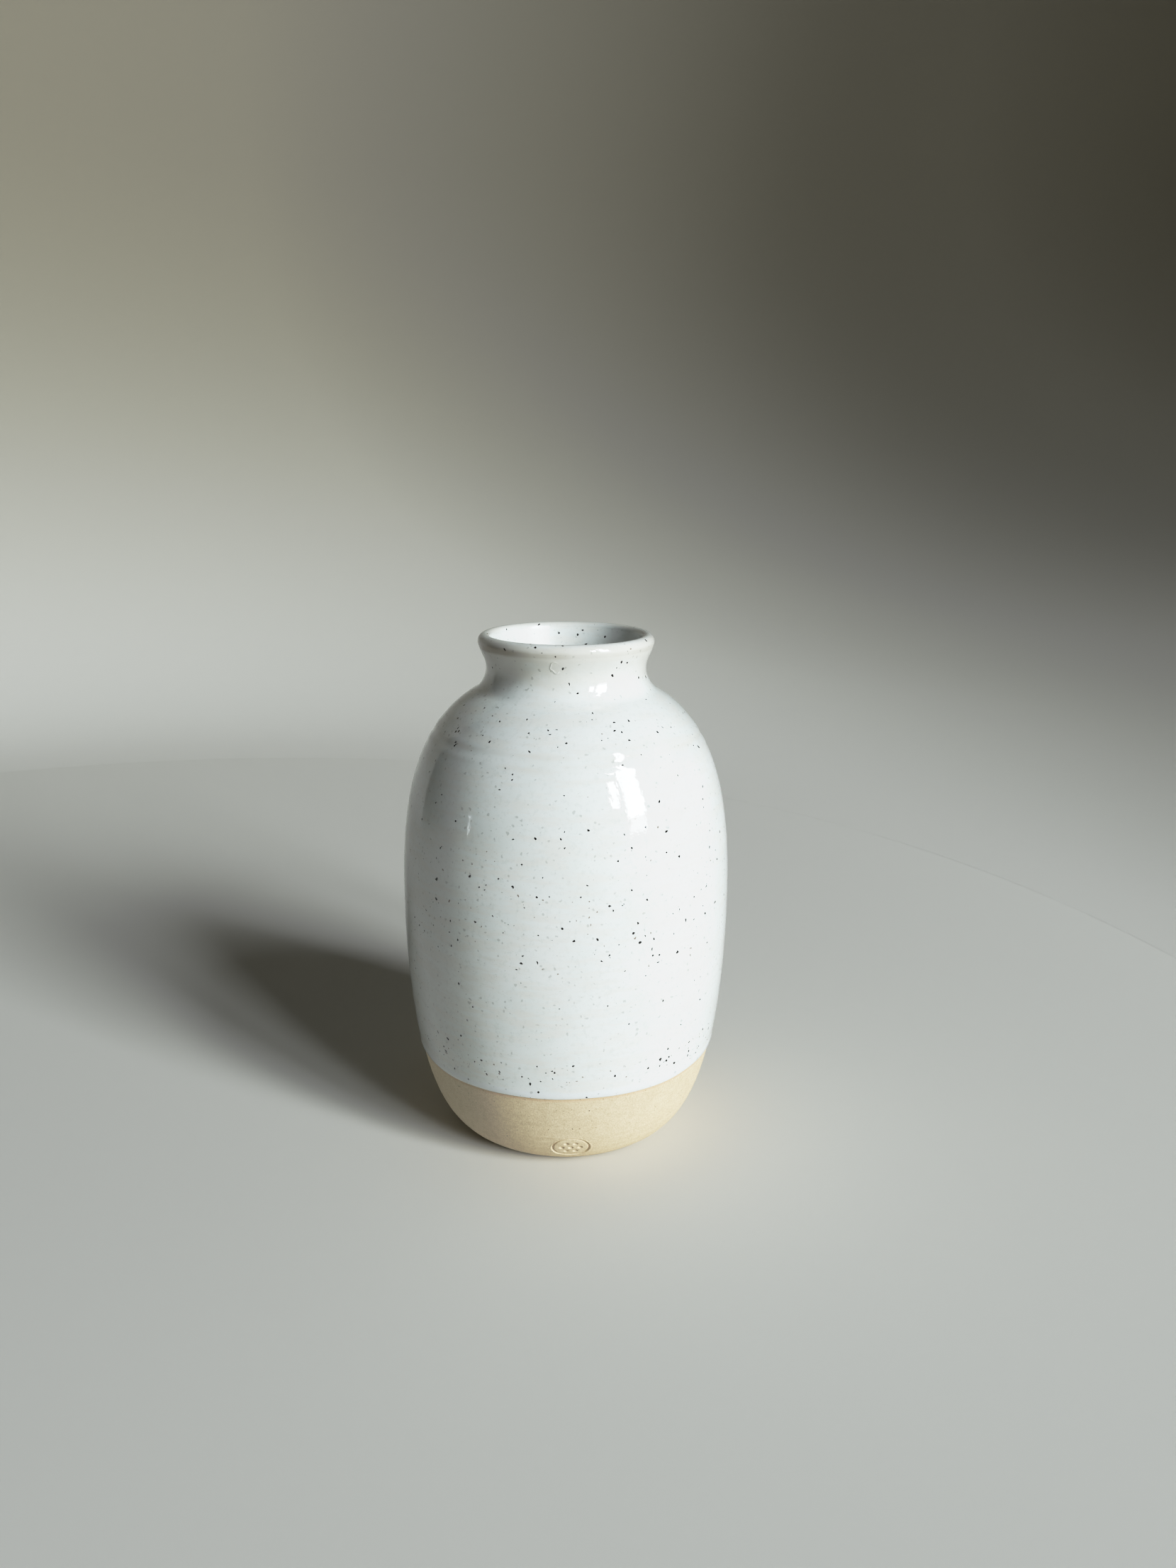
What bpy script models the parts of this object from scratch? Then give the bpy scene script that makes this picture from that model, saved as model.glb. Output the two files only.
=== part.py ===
"""A wheel-thrown stoneware bud vase: a clay body, a dipped glaze outside and a poured glaze inside.

Run it with blender --background --python part.py, or from Blender's text editor.
The vase stands on z = 0 with its axis on z, and its potter's seal faces -y.

Lengths are in millimetres up to the moment a mesh is made, and angles are in degrees. An outline lies
in one half plane through the axis, as points (radius, height). The skin is the vase's finished
surface. It runs from the foot up the outside, over the lip and down the inside, so the clay always
lies to the left of the way it runs.
"""

import math
from typing import NamedTuple

import bmesh
import bpy
from mathutils import Matrix, Vector
from mathutils.geometry import interpolate_bezier

MM = 0.001

# Driving dimensions
HEIGHT = 123.8
BELLY_RADIUS = 40.0
BELLY_HEIGHT = 58.5
FOOT_RADIUS = 25.5
WAIST_RADIUS = 19.0
LIP_RADIUS = 20.85
WALL = 4.5
NECK_WALL = 3.8
FLOOR = 6.0
AROUND = 48

# The two coats of glaze
COAT = 0.5
GAP = 0.3
GLAZE_LINE = 22.2
BARE_STEP = 0.3
LAP_HEIGHT = 116.8

# The lip, which is rounder outside than inside, and the ways the skin runs into and out of it
LIP_ROUND_OUTSIDE = 1.75
LIP_ROUND_INSIDE = 1.3
FLARE_TURN = 78
THROAT_TURN = 253

# The underside
HOLLOW_RADIUS = 18.0
HOLLOW_DEPTH = 0.8

# The potter's seal, pressed into the bare foot: an oval ring round seven dots
SEAL_HEIGHT = 6.2
SEAL_RADIUS = 4.7
SEAL_SQUAT = 0.85
SEAL_RING_WIDTH = 0.7
SEAL_DEPTH = 0.35
SEAL_BEND = 36.0
SEAL_DOT_RADIUS = 0.55
SEAL_DOT_CIRCLE = 2.2
SEAL_DOTS = 6

CLAY = ("buff_stoneware", (0.60, 0.50, 0.34), 0.85)
GLAZE = ("white_glaze", (0.80, 0.81, 0.79), 0.12)


class Knot(NamedTuple):
    """A point that an outline runs smoothly through."""

    point: tuple[float, float]
    turn: float  # the way the outline runs here, from outwards towards upwards
    handles: tuple[float, float]  # how far the curve holds that way, before the point and after it
    pieces: int = 0  # how many straight pieces lead here from the knot before


def way(turn):
    """The unit vector that points this way."""
    angle = math.radians(turn)
    return Vector((math.cos(angle), math.sin(angle)))


def smooth(knots):
    """The outline through a row of knots."""
    line = [Vector(knots[0].point)]
    for here, there in zip(knots, knots[1:]):
        start, end = Vector(here.point), Vector(there.point)
        start_handle = start + here.handles[1] * way(here.turn)
        end_handle = end - there.handles[0] * way(there.turn)
        line += interpolate_bezier(start, start_handle, end_handle, end, there.pieces + 1)[1:]
    return line


def arc(centre, radius, start, end, pieces):
    """Points of a circular arc, both ends included."""
    turns = [start + (end - start) * i / pieces for i in range(pieces + 1)]
    return [Vector(centre) + radius * way(turn) for turn in turns]


def outer_skin():
    """The finished surface from the foot's edge up to the crest of the lip."""
    lip_centre = (LIP_RADIUS - LIP_ROUND_OUTSIDE, HEIGHT - LIP_ROUND_OUTSIDE)
    lip = arc(lip_centre, LIP_ROUND_OUTSIDE, FLARE_TURN - 90, 90, pieces=4)
    foot = Knot((FOOT_RADIUS + BARE_STEP, 0), 17, (0, 12))
    belly = Knot((BELLY_RADIUS, BELLY_HEIGHT), 90, (23.6, 22.4), pieces=7)
    neck_root = Knot((21.8, 110.5), 150, (18.2, 1.8), pieces=8)
    waist = Knot((WAIST_RADIUS, 115.7), 90, (1.8, 2.6), pieces=3)
    flare = Knot(lip[0], FLARE_TURN, (2.5, 0), pieces=3)
    return smooth([foot, belly, neck_root, waist, flare]) + lip[1:]


def inner_skin():
    """The finished surface from the crest of the lip down to the middle of the floor."""
    lip_centre = (LIP_RADIUS - LIP_ROUND_OUTSIDE, HEIGHT - LIP_ROUND_INSIDE)
    lip = arc(lip_centre, LIP_ROUND_INSIDE, 90, THROAT_TURN - 90, pieces=3)
    throat = Knot(lip[-1], THROAT_TURN, (0, 3))
    waist = Knot((WAIST_RADIUS - NECK_WALL, 113.6), 270, (3, 3.5), pieces=2)
    neck_root = Knot((19.7, 106.9), 330, (3.5, 15.8), pieces=3)
    belly = Knot((BELLY_RADIUS - WALL, BELLY_HEIGHT), 270, (20.5, 30), pieces=7)
    floor = Knot((20, FLOOR), 180, (12, 0), pieces=7)
    return lip + smooth([throat, waist, neck_root, belly, floor])[1:] + [Vector((0, FLOOR))]


def sunk(line, depth):
    """The line moved into the clay, to the left of the way it runs."""
    moved = []
    for i, point in enumerate(line):
        along = (line[min(i + 1, len(line) - 1)] - line[max(i - 1, 0)]).normalized()
        moved.append(point + depth * Vector((-along.y, along.x)))
    moved[-1].x = line[-1].x
    return moved


def split_at(line, height):
    """The line up to a height and the line from there on, both with the point at that height."""
    for i, (here, there) in enumerate(zip(line, line[1:])):
        if (here.y - height) * (there.y - height) <= 0:
            cut = here.lerp(there, (height - here.y) / (there.y - here.y))
            return [*line[: i + 1], cut], [cut, *line[i + 1 :]]
    raise ValueError(f"the line never reaches a height of {height} mm")


def coat(line):
    """The outline of a coat on this stretch of skin: out along the skin, back along its underside."""
    return [*line, *reversed(sunk(line, COAT))]


def outside_glaze_outline():
    """The dipped coat, from the glaze line over the lip and a little way down the throat."""
    _, glazed = split_at(outer_skin(), GLAZE_LINE)
    over_the_lip, _ = split_at(inner_skin(), LAP_HEIGHT)
    return coat(glazed + over_the_lip[1:])


def liner_glaze_outline():
    """The poured coat, from just below the dipped one down to the middle of the floor."""
    _, lining = split_at(inner_skin(), LAP_HEIGHT - GAP)
    return coat(lining)


def body_outline():
    """The clay: its hollowed underside, its bare foot, and what lies under the two coats."""
    bare, glazed = split_at(outer_skin(), GLAZE_LINE - GAP)
    underside = [
        Vector((0, HOLLOW_DEPTH)),
        Vector((HOLLOW_RADIUS - HOLLOW_DEPTH, HOLLOW_DEPTH)),
        Vector((HOLLOW_RADIUS, 0)),
    ]
    under_glaze = sunk(glazed + inner_skin()[1:], COAT + GAP)
    under_glaze[0] = glazed[0] - Vector((COAT + GAP, 0))
    return [*underside, *(point - Vector((BARE_STEP, 0)) for point in bare), *under_glaze]


def clear_scene():
    """Removes whatever the file holds."""
    for found in list(bpy.data.objects):
        bpy.data.objects.remove(found, do_unlink=True)


def finish(name, colour, roughness):
    """A plain material, made once for each finish."""
    made = bpy.data.materials.get(name) or bpy.data.materials.new(name)
    made.use_nodes = True
    shader = made.node_tree.nodes["Principled BSDF"]
    shader.inputs["Base Color"].default_value = (*colour, 1)
    shader.inputs["Roughness"].default_value = roughness
    shader.inputs["Metallic"].default_value = 0
    return made


def place_in_scene(name, mesh):
    """Puts a mesh in the scene as a named object."""
    made = bpy.data.objects.new(name, mesh)
    bpy.context.scene.collection.objects.link(made)
    return made


def turned(name, outline, material):
    """Turns a closed outline about the axis, without the edge of it that lies on the axis."""
    points = [(point.x * MM, 0, point.y * MM) for point in reversed(outline)]
    pairs = [(i, (i + 1) % len(points)) for i in range(len(points))]
    edges = [(i, j) for i, j in pairs if points[i][0] or points[j][0]]
    mesh = bpy.data.meshes.new(name)
    mesh.from_pydata(points, edges, [])
    mesh.materials.append(finish(*material))
    made = place_in_scene(name, mesh)
    screw = made.modifiers.new("Turn", "SCREW")
    screw.axis = "Z"
    screw.steps = screw.render_steps = AROUND
    screw.use_merge_vertices = True
    screw.merge_threshold = 0.01 * MM
    screw.use_smooth_shade = True
    return made


def add_dot(shape, spot):
    """Adds the post of one dot to the seal's face."""
    bmesh.ops.create_cone(
        shape,
        cap_ends=True,
        segments=10,
        radius1=SEAL_DOT_RADIUS,
        radius2=SEAL_DOT_RADIUS,
        depth=2 * SEAL_DEPTH,
        matrix=Matrix.Translation((*spot, 0)),
    )


def add_ring(shape, pieces=28):
    """Adds the ring to the seal's face: an oblong section carried round its middle."""
    inner, outer = SEAL_RADIUS - SEAL_RING_WIDTH, SEAL_RADIUS
    low, high = -SEAL_DEPTH, SEAL_DEPTH
    corners = ((inner, low), (outer, low), (outer, high), (inner, high))
    loops = []
    for i in range(pieces):
        out = way(360 * i / pieces)
        loops.append([shape.verts.new((*(radius * out), level)) for radius, level in corners])
    for here, there in zip(loops, loops[1:] + loops[:1]):
        for i in range(len(corners)):
            j = (i + 1) % len(corners)
            shape.faces.new((here[i], here[j], there[j], there[i]))


def seal_place():
    """The matrix that stands the seal on the front of the foot, with its z straight out of the clay."""
    skin = outer_skin()
    low, high = next(pair for pair in zip(skin, skin[1:]) if pair[1].y > SEAL_HEIGHT)
    radius = low.lerp(high, (SEAL_HEIGHT - low.y) / (high.y - low.y)).x - BARE_STEP
    slope = math.atan2(high.y - low.y, high.x - low.x)
    on_the_foot = Matrix.Translation((0, -radius * MM, SEAL_HEIGHT * MM))
    return on_the_foot @ Matrix.Rotation(math.pi - slope, 4, "X")


def seal():
    """The seal's raised face as a cutter, squat, bent as the clay is and sunk as deep as it is pressed in."""
    shape = bmesh.new()
    add_ring(shape)
    add_dot(shape, (0, 0))
    for i in range(SEAL_DOTS):
        add_dot(shape, SEAL_DOT_CIRCLE * way(360 * i / SEAL_DOTS))
    bmesh.ops.recalc_face_normals(shape, faces=shape.faces)
    for vert in shape.verts:
        vert.co.y *= SEAL_SQUAT
        vert.co.z -= vert.co.xy.length_squared / (2 * SEAL_BEND)
    bmesh.ops.scale(shape, vec=(MM, MM, MM), verts=shape.verts)
    mesh = bpy.data.meshes.new("seal")
    shape.to_mesh(mesh)
    shape.free()
    cutter = place_in_scene("seal", mesh)
    cutter.matrix_world = seal_place()
    cutter.hide_render = True
    cutter.display_type = "WIRE"
    return cutter


def press(body, cutter):
    """Presses a cutter's shape into the clay."""
    cut = body.modifiers.new("Press", "BOOLEAN")
    cut.operation = "DIFFERENCE"
    cut.solver = "EXACT"
    cut.object = cutter


def main():
    clear_scene()
    body = turned("stoneware_body", body_outline(), CLAY)
    press(body, seal())
    turned("outside_glaze", outside_glaze_outline(), GLAZE)
    turned("liner_glaze", liner_glaze_outline(), GLAZE)


main()
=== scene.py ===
"""A hand-thrown stoneware bud vase: bare clay foot, dipped white glaze, poured liner, and a plain studio.

The sizes in the classes are in millimetres and degrees; a mesh is in metres. The skin is the vase's
finished surface, one line in a half plane through the axis. It runs from the foot up the outside, over
the lip and down the inside to the middle of the floor. A place on it is a length along that line, and
a depth is measured from it into the clay.
"""

import logging
import math
from dataclasses import dataclass, field
from enum import Enum
from typing import Any, NamedTuple

import bpy
import numpy as np
from mathutils import Matrix, Vector
from mathutils.geometry import interpolate_bezier


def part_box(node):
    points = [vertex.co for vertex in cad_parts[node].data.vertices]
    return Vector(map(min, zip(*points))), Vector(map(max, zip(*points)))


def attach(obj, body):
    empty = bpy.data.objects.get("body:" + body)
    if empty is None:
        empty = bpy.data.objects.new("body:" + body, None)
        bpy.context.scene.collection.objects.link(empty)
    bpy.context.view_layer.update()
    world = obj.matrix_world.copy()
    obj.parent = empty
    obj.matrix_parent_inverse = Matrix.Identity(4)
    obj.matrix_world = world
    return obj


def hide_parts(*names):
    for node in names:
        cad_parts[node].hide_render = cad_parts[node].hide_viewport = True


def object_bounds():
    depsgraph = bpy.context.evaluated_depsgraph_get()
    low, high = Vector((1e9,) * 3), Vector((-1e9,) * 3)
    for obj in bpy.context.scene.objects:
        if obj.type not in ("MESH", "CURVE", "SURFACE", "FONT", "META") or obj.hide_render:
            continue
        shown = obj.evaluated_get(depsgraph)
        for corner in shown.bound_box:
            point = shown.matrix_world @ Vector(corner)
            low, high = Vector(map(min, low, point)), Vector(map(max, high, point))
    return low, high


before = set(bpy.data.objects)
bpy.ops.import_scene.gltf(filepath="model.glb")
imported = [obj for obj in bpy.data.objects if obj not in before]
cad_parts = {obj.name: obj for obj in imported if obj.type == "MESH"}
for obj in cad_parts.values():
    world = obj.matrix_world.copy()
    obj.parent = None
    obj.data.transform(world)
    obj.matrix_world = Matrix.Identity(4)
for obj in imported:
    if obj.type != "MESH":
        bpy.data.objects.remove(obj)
cad_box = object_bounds()

MM = 0.001
BODY = "root"
FRONT = -90.0
ON_THE_AXIS = 0.001

log = logging.getLogger("bud_vase")

Socket = bpy.types.NodeSocket
Tree = bpy.types.NodeTree


# ---------------------------------------------------------------- outlines and meshes


class Knot(NamedTuple):
    """A point that an outline runs smoothly through, in millimetres and degrees."""

    point: tuple[float, float]
    turn: float
    handles: tuple[float, float]


def way(turn: float) -> Vector:
    """The unit vector at this turn from outwards towards upwards."""
    return Vector((math.cos(math.radians(turn)), math.sin(math.radians(turn))))


def smooth(knots: list[Knot], pieces: int = 200) -> list[Vector]:
    """Draws the outline through a row of knots.

    Args:
        knots: The points, each with the way the outline runs there and how far it holds that way.
        pieces: How many straight pieces join two knots.

    Returns:
        The outline's points, without the first.
    """
    line: list[Vector] = []
    for here, there in zip(knots, knots[1:]):
        start, end = Vector(here.point), Vector(there.point)
        start_handle = start + here.handles[1] * way(here.turn)
        end_handle = end - there.handles[0] * way(there.turn)
        line += interpolate_bezier(start, start_handle, end_handle, end, pieces + 1)[1:]
    return line


def arc(
    centre: tuple[float, float], radius: float, start: float, end: float, pieces: int = 90
) -> list[Vector]:
    """Draws a circular arc.

    Args:
        centre: The arc's centre.
        radius: Its radius.
        start: The turn at which it starts.
        end: The turn at which it ends.
        pieces: How many straight pieces it has.

    Returns:
        Its points, both ends included.
    """
    turns = np.linspace(start, end, pieces + 1)
    return [Vector(centre) + radius * way(float(turn)) for turn in turns]


def fade(value: np.ndarray, start: float, end: float) -> np.ndarray:
    """Rises softly from 0 at the start value to 1 at the end value."""
    share = np.clip((value - start) / (end - start), 0, 1)
    return share * share * (3 - 2 * share)


def hump(value: np.ndarray, middle: float, width: float) -> np.ndarray:
    """A smooth hump of height 1 round a middle value."""
    return np.exp(-(((value - middle) / width) ** 2))


def graded(length: float, first: float, growth: float, largest: float) -> np.ndarray:
    """Divides a length into steps that start small and grow.

    Args:
        length: The length to divide.
        first: The first step.
        growth: How much longer each step is than the one before.
        largest: The longest step.

    Returns:
        The places of the divisions, from 0 to the length.
    """
    places, step = [0.0], first
    while places[-1] < length:
        places.append(places[-1] + step)
        step = min(step * growth, largest)
    return np.array(places) * length / places[-1]


def kept_points(rows: np.ndarray) -> np.ndarray:
    """Tells which points a mesh keeps of its rows, because a row on the axis is a single point.

    Args:
        rows: The points in millimetres, by row, place round the axis and coordinate.

    Returns:
        True for each point that is kept, by row and place round the axis.
    """
    kept = np.ones(rows.shape[:2], bool)
    kept[np.hypot(rows[..., 0], rows[..., 1]).max(1) < ON_THE_AXIS, 1:] = False
    return kept


def turned_mesh(name: str, rows: np.ndarray) -> bpy.types.Object:
    """Makes a closed mesh from rows of points that each go once round the axis, or lie on it.

    Args:
        name: The object's name.
        rows: The points in millimetres, by row, place round the axis and coordinate. The last row
            joins the first, unless both lie on the axis.

    Returns:
        The object, shaded smooth.
    """
    kept = kept_points(rows)
    lower = np.cumsum(kept).reshape(kept.shape) - 1
    upper = np.roll(lower, -1, 0)
    quads = np.stack([lower, np.roll(lower, -1, 1), np.roll(upper, -1, 1), upper], -1)
    starts = ~kept[:, 1]
    ends = np.roll(starts, -1)
    faces = quads[~starts & ~ends].reshape(-1, 4).tolist()
    faces += quads[starts & ~ends][..., [0, 2, 3]].reshape(-1, 3).tolist()
    faces += quads[~starts & ends][..., [0, 1, 3]].reshape(-1, 3).tolist()
    mesh = bpy.data.meshes.new(name)
    mesh.from_pydata((rows[kept] * MM).tolist(), [], faces)
    mesh.validate()
    mesh.shade_smooth()
    made = bpy.data.objects.new(name, mesh)
    bpy.context.scene.collection.objects.link(made)
    return made


def paint(made: bpy.types.Object, name: str, values: np.ndarray) -> None:
    """Stores one number for each of a mesh's points, for its material to read."""
    layer = made.data.attributes.new(name, "FLOAT", "POINT")
    layer.data.foreach_set("value", values.astype(np.float32))


# ---------------------------------------------------------------- the vase's form


@dataclass
class Form:
    """The vase's outline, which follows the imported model's size."""

    height: float
    belly_radius: float
    glaze_line: float
    lap_height: float
    floor: float
    belly_height: float = 58.5
    foot_radius: float = 25.8
    waist_radius: float = 19.0
    lip_radius: float = 20.85
    wall: float = 4.5
    neck_wall: float = 3.8
    lip_round_outside: float = 1.75
    lip_round_inside: float = 1.3
    flare_turn: float = 78
    throat_turn: float = 253
    # The rings at the neck's root: each one's height and width, and how far it stands out.
    rings: tuple[tuple[float, float, float], ...] = (
        (103.8, 1.2, -0.02),
        (101.9, 0.9, 0.065),
        (100.3, 0.9, -0.065),
        (98.8, 0.8, 0.035),
        (97.4, 0.9, -0.02),
    )
    ring_slope: float = 0.5
    # The belly's softer marks, from this height to that one, this far apart.
    marks: tuple[float, float, float] = (28, 94, 5.2)
    mark_stray: float = 1.6
    mark_rise: float = 0.035
    mark_widths: tuple[float, float] = (1.1, 2.4)
    # The surface lies this much lower than the outline, so that the marks stay inside the vase's size.
    sunk: float = 0.05
    out_of_round: float = 0.05
    # The grooves that the fingers left inside.
    groove: float = 0.14
    groove_spacing: float = 7.5
    line: np.ndarray = field(init=False)
    along: np.ndarray = field(init=False)
    normal: np.ndarray = field(init=False)
    crest: float = field(init=False)

    @classmethod
    def of_the_packed_model(cls) -> "Form":
        """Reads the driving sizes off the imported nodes' boxes.

        Returns:
            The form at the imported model's size.
        """
        low, high = cad_box
        outside_low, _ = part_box("outside_glaze")
        liner_low, liner_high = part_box("liner_glaze")
        coat_of_the_cad = 0.5
        return cls(
            height=(high.z - low.z) / MM,
            belly_radius=high.x / MM,
            glaze_line=outside_low.z / MM,
            lap_height=liner_high.z / MM,
            floor=liner_low.z / MM + coat_of_the_cad,
        )

    def __post_init__(self) -> None:
        """Draws the skin, and measures it."""
        outside = self.outside()
        self.line = np.array([tuple(point) for point in outside + self.inside()])
        steps = np.diff(self.line, axis=0)
        self.along = np.r_[0, np.hypot(*steps.T).cumsum()]
        self.crest = float(self.along[len(outside) - 1])
        run = np.gradient(self.line, self.along, axis=0)
        run /= np.linalg.norm(run, axis=1)[:, None]
        self.normal = np.stack([run[:, 1], -run[:, 0]], 1)

    def outside(self) -> list[Vector]:
        """Draws the skin from the foot's edge up to the crest of the lip.

        Returns:
            Its points.
        """
        lip_centre = (self.lip_radius - self.lip_round_outside, self.height - self.lip_round_outside)
        lip = arc(lip_centre, self.lip_round_outside, self.flare_turn - 90, 90)
        foot = Knot((self.foot_radius, 0), 17, (0, 12))
        belly = Knot((self.belly_radius, self.belly_height), 90, (23.6, 22.4))
        neck_root = Knot((21.8, 110.5), 150, (18.2, 1.8))
        waist = Knot((self.waist_radius, 115.7), 90, (1.8, 2.6))
        flare = Knot(lip[0], self.flare_turn, (2.5, 0))
        return [Vector(foot.point), *smooth([foot, belly, neck_root, waist, flare]), *lip[1:]]

    def inside(self) -> list[Vector]:
        """Draws the skin from just past the crest down to the middle of the inner floor.

        Returns:
            Its points.
        """
        lip_centre = (self.lip_radius - self.lip_round_outside, self.height - self.lip_round_inside)
        lip = arc(lip_centre, self.lip_round_inside, 90, self.throat_turn - 90)
        throat = Knot(lip[-1], self.throat_turn, (0, 3))
        waist = Knot((self.waist_radius - self.neck_wall, 113.6), 270, (3, 3.5))
        neck_root = Knot((19.7, 106.9), 330, (3.5, 15.8))
        belly = Knot((self.belly_radius - self.wall, self.belly_height), 270, (20.5, 30))
        floor = Knot((20, self.floor), 180, (12, 0))
        middle = Knot((0, self.floor), 180, (5, 0))
        return lip[1:] + smooth([throat, waist, neck_root, belly, floor, middle])

    def outside_at(self, height: float) -> float:
        """The place on the outside that has this height."""
        outside = self.along <= self.crest
        return float(np.interp(height, self.line[outside, 1], self.along[outside]))

    def inside_at(self, height: float) -> float:
        """The place on the inside that has this height."""
        inside = self.along >= self.crest
        return float(np.interp(-height, -self.line[inside, 1], self.along[inside]))

    def rows(self, start: float, end: float, longest: float, bend: float) -> np.ndarray:
        """Picks places along the skin, closer together where it bends.

        Args:
            start: The first place.
            end: The last place.
            longest: The longest step between two places.
            bend: How many degrees the skin may turn in one step.

        Returns:
            The places, in order.
        """
        turn = np.unwrap(np.arctan2(self.normal[:, 1], self.normal[:, 0]))
        curvature = np.abs(np.gradient(turn, self.along))
        share = np.maximum(1 / longest, curvature / math.radians(bend))
        total = np.r_[0, ((share[1:] + share[:-1]) / 2 * np.diff(self.along)).cumsum()]
        first, last = np.interp([start, end], self.along, total)
        wanted = np.linspace(first, last, math.ceil(last - first) + 1)
        return np.interp(wanted, total, self.along)

    def place(self, along: np.ndarray, angle: np.ndarray, depth: np.ndarray) -> np.ndarray:
        """Finds points under the skin.

        Args:
            along: Their places along the skin.
            angle: Their angles round the axis, in degrees.
            depth: How deep they lie under the skin.

        Returns:
            Their coordinates in millimetres.
        """
        radius, height = (np.interp(along, self.along, self.line[:, i]) for i in (0, 1))
        out, up = (np.interp(along, self.along, self.normal[:, i]) for i in (0, 1))
        rise = self.thrown(height, angle, along > self.crest) - depth
        radius = np.maximum(radius + out * rise, 0)
        turn = np.radians(angle)
        return np.stack([radius * np.cos(turn), radius * np.sin(turn), height + up * rise], -1)

    def spiral(self, height: np.ndarray, turn: np.ndarray) -> np.ndarray:
        """The height followed along the rings, which the rising fingers left slightly out of level."""
        return height + self.ring_slope * np.sin(turn + 1.1)

    def thrown(self, height: np.ndarray, angle: np.ndarray, inside: np.ndarray) -> np.ndarray:
        """How far the potter's fingers left the surface above or below the smooth outline.

        Args:
            height: The points' heights.
            angle: Their angles round the axis, in degrees.
            inside: True where the surface is the inner one.

        Returns:
            The rise of each point, in millimetres.
        """
        turn = np.radians(angle)
        spiral = self.spiral(height, turn)
        rise = np.full_like(spiral, -self.sunk)
        for middle, width, strength in self.rings:
            rise += strength * hump(spiral, middle, width)
        draw = np.random.default_rng(11)
        for middle in np.arange(*self.marks):
            middle += draw.uniform(-self.mark_stray, self.mark_stray)
            strength = draw.uniform(-self.mark_rise, self.mark_rise)
            rise += strength * hump(spiral, middle, draw.uniform(*self.mark_widths))
        rise += self.out_of_round * np.cos(2 * turn + 0.6) * fade(height, 5, 40)
        below_the_neck = fade(height, 8, 14) * (1 - fade(height, 104, 112))
        grooves = self.groove * np.sin(2 * np.pi * height / self.groove_spacing + turn) * below_the_neck
        return np.where(inside, grooves, rise * (1 - fade(height, 117, 121)))


@dataclass
class GlazeEdge:
    """The lower edge of the dipped glaze, which isn't quite level and isn't quite straight."""

    form: Form
    drop: float = 0.3
    tilt: float = 0.42
    tilt_towards: float = -15.0
    # How many of each wave go round the vase, how high they are, and the angle at which they start.
    waves: tuple[tuple[int, float, float], ...] = (
        (3, 0.10, 40.0),
        (5, 0.09, 200.0),
        (9, 0.06, 75.0),
        (16, 0.035, 10.0),
    )

    def height(self, angle: np.ndarray) -> np.ndarray:
        """Finds the edge's height.

        Args:
            angle: Angles round the axis, in degrees.

        Returns:
            The height at each angle, in millimetres.
        """
        rise = self.tilt * np.cos(np.radians(angle - self.tilt_towards))
        for count, size, start in self.waves:
            rise = rise + size * np.sin(np.radians(count * angle + start))
        return self.form.glaze_line - self.drop + rise

    def along(self, angle: np.ndarray) -> np.ndarray:
        """Finds the edge's place along the skin.

        Args:
            angle: Angles round the axis, in degrees.

        Returns:
            The place at each angle, in millimetres.
        """
        heights = self.height(angle)
        outside = self.form.along <= self.form.crest
        return np.interp(heights, self.form.line[outside, 1], self.form.along[outside])


# ---------------------------------------------------------------- materials


def linear(colour: str) -> tuple[float, float, float, float]:
    """Turns an sRGB hex colour such as #d9d2c0 to linear light.

    Args:
        colour: The colour, with its leading hash.

    Returns:
        Red, green, blue and an alpha of 1.
    """
    parts = [int(colour[i : i + 2], 16) / 255 for i in (1, 3, 5)]
    return (*(c / 12.92 if c <= 0.04045 else ((c + 0.055) / 1.055) ** 2.4 for c in parts), 1.0)


def add(tree: Tree, kind: str, inputs: dict[Any, Any], output: Any = 0, **settings: Any) -> Socket:
    """Adds a node to a tree.

    Args:
        tree: The tree.
        kind: The node's type.
        inputs: What each input takes, by name or number: another node's output, or a value.
        output: The name or number of the output that is wanted.
        **settings: The node's own settings, such as its operation.

    Returns:
        The wanted output.
    """
    made = tree.nodes.new(kind)
    for name, value in settings.items():
        setattr(made, name, value)
    for name, value in inputs.items():
        if isinstance(value, Socket):
            tree.links.new(value, made.inputs[name])
        else:
            made.inputs[name].default_value = value
    return made.outputs[output]


def new_material(name: str) -> tuple[bpy.types.Material, Tree, bpy.types.Node]:
    """Starts a material.

    Args:
        name: Its name.

    Returns:
        The material, its node tree and its shader.
    """
    made = bpy.data.materials.new(name)
    made.use_nodes = True
    return made, made.node_tree, made.node_tree.nodes["Principled BSDF"]


MIX = "ShaderNodeMix"
MATH = "ShaderNodeMath"
RANGE = "ShaderNodeMapRange"
NOISE = "ShaderNodeTexNoise"
MIX_A, MIX_B, MIX_RESULT = 6, 7, 2
ALL_COLOURS = 3


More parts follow.
